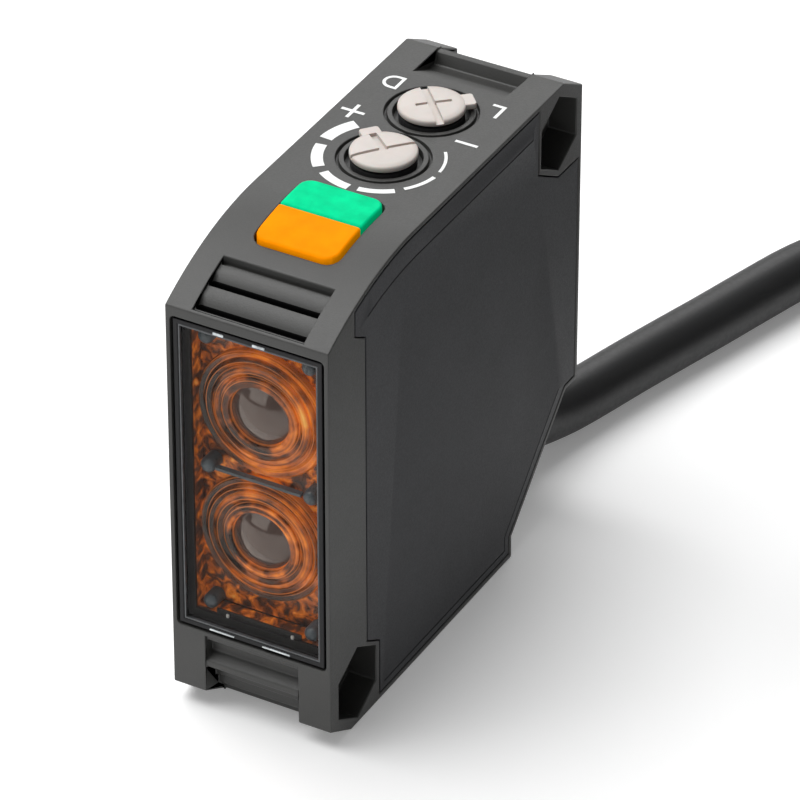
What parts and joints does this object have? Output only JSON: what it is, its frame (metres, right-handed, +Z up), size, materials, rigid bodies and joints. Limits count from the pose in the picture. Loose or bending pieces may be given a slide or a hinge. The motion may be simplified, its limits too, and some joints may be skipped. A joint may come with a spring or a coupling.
{
  "type": "photoelectric sensor",
  "caption": "Slim box-shaped photoelectric sensor with a tinted lens window, slotted adjusters, indicator lamps, cross fixing holes and a coiled free cable.",
  "frame": {"origin": "centre of the housing's footprint, on the surface that it stands on", "axes": "-Y is the way the optical window faces, +Z is up towards the adjusters, +X is the side cover"},
  "size_m": [0.1248, 0.1171, 0.051],
  "materials": {
    "case_grey": "fine satin moulding texture",
    "cover_grey": "fine satin moulding texture",
    "window_dark": "polished, tinted clear",
    "amber": "polished, tinted clear",
    "slate": "smooth",
    "rubber_black": "matt",
    "plastic_black": "matt",
    "led_red": "clear epoxy",
    "led_clear": "clear epoxy",
    "board_green": "lacquered board",
    "tinplate": "tin plated",
    "relay_blue": "smooth",
    "ferrite": "ground ferrite",
    "copper": "enamelled copper wire",
    "sleeve_navy": "shrink sleeve",
    "ceramic_blue": "dipped coating",
    "knob_white": "satin",
    "lens_green": "translucent, satin",
    "lens_orange": "translucent, satin",
    "cable_black": "matt vinyl sheath",
    "wire_brown": "vinyl insulation",
    "wire_blue": "vinyl insulation",
    "wire_black": "vinyl insulation",
    "wire_white": "vinyl insulation",
    "wire_gray": "vinyl insulation"
  },
  "bodies": {
    "housing": {"main_case": "case_grey", "side_cover": "cover_grey", "front_window": "window_dark", "window_seal": "rubber_black", "lower_lens": "amber", "upper_lens": "amber", "lens_post_1": "slate", "lens_post_2": "slate", "lens_post_3": "slate", "lens_post_4": "slate", "lens_post_5": "slate", "lens_post_6": "slate", "lens_divider": "slate", "lens_carrier": "amber", "optical_chassis": "plastic_black", "emitter_led": "led_red", "photodiode": "plastic_black", "front_board": "board_green", "receiver_shield": "tinplate", "signal_ic": "plastic_black", "main_board": "board_green", "output_relay": "relay_blue", "transformer_core": "ferrite", "transformer_winding": "copper", "electrolytic_capacitor": "sleeve_navy", "bridge_rectifier": "plastic_black", "varistor": "ceramic_blue", "front_link_header": "plastic_black", "top_link_header": "plastic_black", "sensitivity_seal": "rubber_black", "sensitivity_pot": "plastic_black", "mode_seal": "rubber_black", "mode_switch": "plastic_black", "indicator_green": "lens_green", "indicator_orange": "lens_orange", "green_led": "led_clear", "orange_led": "led_clear", "adjuster_board": "board_green", "cable_gland": "rubber_black", "cable_clamp": "plastic_black", "inner_wire_brown": "wire_brown", "inner_wire_blue": "wire_blue", "inner_wire_black": "wire_black", "inner_wire_white": "wire_white", "inner_wire_gray": "wire_gray", "cable": "cable_black", "cable_coil": "cable_black", "coil_tie_1": "plastic_black", "coil_tie_2": "plastic_black", "cable_tail": "cable_black", "lead_brown": "wire_brown", "lead_blue": "wire_blue", "lead_black": "wire_black", "lead_white": "wire_white", "lead_gray": "wire_gray"},
    "sensitivity_adjuster": {"sensitivity_knob": "knob_white", "sensitivity_rotor": "knob_white"},
    "mode_selector": {"mode_knob": "knob_white", "mode_rotor": "knob_white"}
  },
  "joints": [
    {"name": "sensitivity_turn", "type": "hinge", "parent": "housing", "child": "sensitivity_adjuster", "pos_m": [0, 0.001, 0.0505], "axis": [0, 0, 1], "range_deg": [0, 260]},
    {"name": "mode_turn", "type": "hinge", "parent": "housing", "child": "mode_selector", "pos_m": [0, 0.0104, 0.0505], "axis": [0, 0, 1], "range_deg": [0, 105]}
  ]
}
